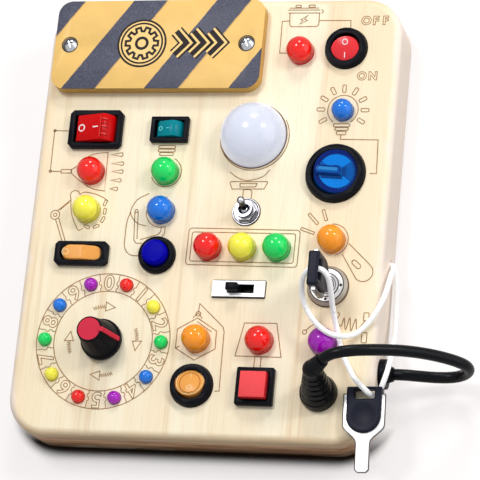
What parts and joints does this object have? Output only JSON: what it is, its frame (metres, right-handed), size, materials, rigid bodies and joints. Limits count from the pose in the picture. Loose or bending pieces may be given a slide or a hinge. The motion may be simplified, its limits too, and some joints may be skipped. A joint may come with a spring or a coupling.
{
  "type": "busy board",
  "caption": "Wooden toy panel with toggle, rocker, slide, key and rotary switches, push buttons, coloured round lights, a plug lead and keys on a string.",
  "frame": {"origin": "on the floor under the middle of the board, which lies on its back", "axes": "+X to the board's right, +Y up the board towards the striped sign, +Z out of its face"},
  "size_m": [0.1727, 0.1822, 0.0459],
  "materials": {
    "wood": "satin",
    "cover_wood": "satin",
    "sign": "satin",
    "screw_chrome": "polished",
    "black_plastic": "satin",
    "key_plastic": "satin",
    "red_switch": "gloss",
    "teal_switch": "gloss",
    "orange_switch": "gloss",
    "blue_switch": "gloss",
    "navy_button": "gloss",
    "red_light": "translucent gloss",
    "yellow_light": "translucent gloss",
    "green_light": "translucent gloss",
    "blue_light": "translucent gloss",
    "purple_light": "translucent gloss",
    "orange_light": "translucent gloss",
    "milky_lens": "translucent gloss",
    "ivory_plastic": "satin",
    "lock_chrome": "polished",
    "key_steel": "satin",
    "switch_steel": "satin",
    "slide_plate": "satin",
    "red_case": "satin",
    "knob_red": "satin",
    "circuit_green": "satin",
    "brass_tag": "satin",
    "spring_steel": "satin",
    "battery_skin": "satin",
    "cable_rubber": "satin",
    "string_cotton": "matt",
    "wire_red": "satin"
  },
  "bodies": {
    "board": {"board_block": "wood", "rear_cover": "cover_wood", "rear_screws": "screw_chrome", "battery_box": "black_plastic", "battery_cells": "battery_skin", "battery_contacts": "spring_steel", "battery_door": "black_plastic", "sign_plate": "sign", "sign_screws": "screw_chrome", "big_rocker_housing": "black_plastic", "small_rocker_housing": "black_plastic", "boat_rocker_housing": "black_plastic", "wide_rocker_housing": "black_plastic", "red_rocker_housing": "black_plastic", "orange_rocker_housing": "black_plastic", "switch_terminals": "brass_tag", "round_button_housing": "black_plastic", "round_button_spring": "spring_steel", "square_button_housing": "black_plastic", "square_button_spring": "spring_steel", "slide_switch_base": "black_plastic", "slide_switch_plate": "slide_plate", "toggle_case": "red_case", "panel_nuts": "switch_steel", "lock_barrel": "lock_chrome", "selector_case": "switch_steel", "dial_circuit_board": "circuit_green", "red_lights": "red_light", "yellow_lights": "yellow_light", "green_lights": "green_light", "blue_lights": "blue_light", "purple_lights": "purple_light", "orange_lights": "orange_light", "dome_lens": "milky_lens", "dome_base": "ivory_plastic", "plug_socket": "black_plastic", "cable_gland": "black_plastic", "cable": "cable_rubber", "string": "string_cotton", "key_two_steel": "key_steel", "key_two_grip": "key_plastic", "wiring_loom": "wire_red"},
    "big_rocker": {"big_rocker_paddle": "red_switch"},
    "small_rocker": {"small_rocker_paddle": "teal_switch"},
    "boat_rocker": {"boat_rocker_paddle": "orange_switch"},
    "wide_rocker": {"wide_rocker_paddle": "blue_switch"},
    "red_rocker": {"red_rocker_paddle": "red_switch"},
    "orange_rocker": {"orange_rocker_paddle": "orange_switch"},
    "round_button": {"round_button_cap": "navy_button"},
    "square_button": {"square_button_cap": "red_switch"},
    "slide_knob": {"slide_switch_knob": "black_plastic"},
    "lever": {"toggle_lever": "screw_chrome"},
    "selector": {"selector_shaft": "switch_steel", "selector_knob": "black_plastic", "selector_knob_cap": "knob_red"},
    "lock": {"lock_core": "lock_chrome"},
    "key_one": {"key_one_steel": "key_steel", "key_one_grip": "key_plastic"},
    "plug": {"plug_body": "cable_rubber"}
  },
  "joints": [
    {"name": "big_rocker_tilt", "type": "hinge", "parent": "board", "child": "big_rocker", "pos_m": [-0.0462, 0.0328, 0.0185], "axis": [0, 1, 0], "range_deg": [0, 30]},
    {"name": "small_rocker_tilt", "type": "hinge", "parent": "board", "child": "small_rocker", "pos_m": [-0.01685, 0.0328, 0.0185], "axis": [0, 1, 0], "range_deg": [0, 30]},
    {"name": "boat_rocker_tilt", "type": "hinge", "parent": "board", "child": "boat_rocker", "pos_m": [-0.0462, -0.0165, 0.0185], "axis": [0, 1, 0], "range_deg": [-16, 0]},
    {"name": "wide_rocker_tilt", "type": "hinge", "parent": "board", "child": "wide_rocker", "pos_m": [0.0484, 0.0161, 0.0185], "axis": [0, 1, 0], "range_deg": [-24, 0]},
    {"name": "red_rocker_tilt", "type": "hinge", "parent": "board", "child": "red_rocker", "pos_m": [0.0484, 0.0655, 0.0185], "axis": [1, 0, 0], "range_deg": [-24, 0]},
    {"name": "orange_rocker_tilt", "type": "hinge", "parent": "board", "child": "orange_rocker", "pos_m": [0.0015, -0.0658, 0.0185], "axis": [1, 0, 0], "range_deg": [0, 24]},
    {"name": "round_button_press", "type": "slide", "parent": "board", "child": "round_button", "axis": [0, 0, -1], "range_m": [0, 0.002], "stiffness_N_per_m": 400, "springref_m": -0.002, "deforming": ["round_button_spring"]},
    {"name": "square_button_press", "type": "slide", "parent": "board", "child": "square_button", "axis": [0, 0, -1], "range_m": [0, 0.002], "stiffness_N_per_m": 400, "springref_m": -0.002, "deforming": ["square_button_spring"]},
    {"name": "slide_switch_move", "type": "slide", "parent": "board", "child": "slide_knob", "axis": [1, 0, 0], "range_m": [0, 0.0052]},
    {"name": "toggle_flip", "type": "hinge", "parent": "board", "child": "lever", "pos_m": [0.0158, 0.0008, 0.022], "axis": [1, 0, 0], "range_deg": [0, 28]},
    {"name": "selector_turn", "type": "hinge", "parent": "board", "child": "selector", "pos_m": [-0.0344, -0.0498, 0.02], "axis": [0, 0, 1], "range_deg": [-252, 72]},
    {"name": "lock_turn", "type": "hinge", "parent": "board", "child": "lock", "pos_m": [0.0493, -0.0274, 0.02], "axis": [0, 0, 1], "range_deg": [0, 90], "deforming": ["string"]},
    {"name": "key_pull", "type": "slide", "parent": "lock", "child": "key_one", "axis": [0, 0, 1], "range_m": [0, 0.012]},
    {"name": "plug_pull", "type": "slide", "parent": "board", "child": "plug", "axis": [0, 0, 1], "range_m": [0, 0.012], "deforming": ["cable"]}
  ]
}
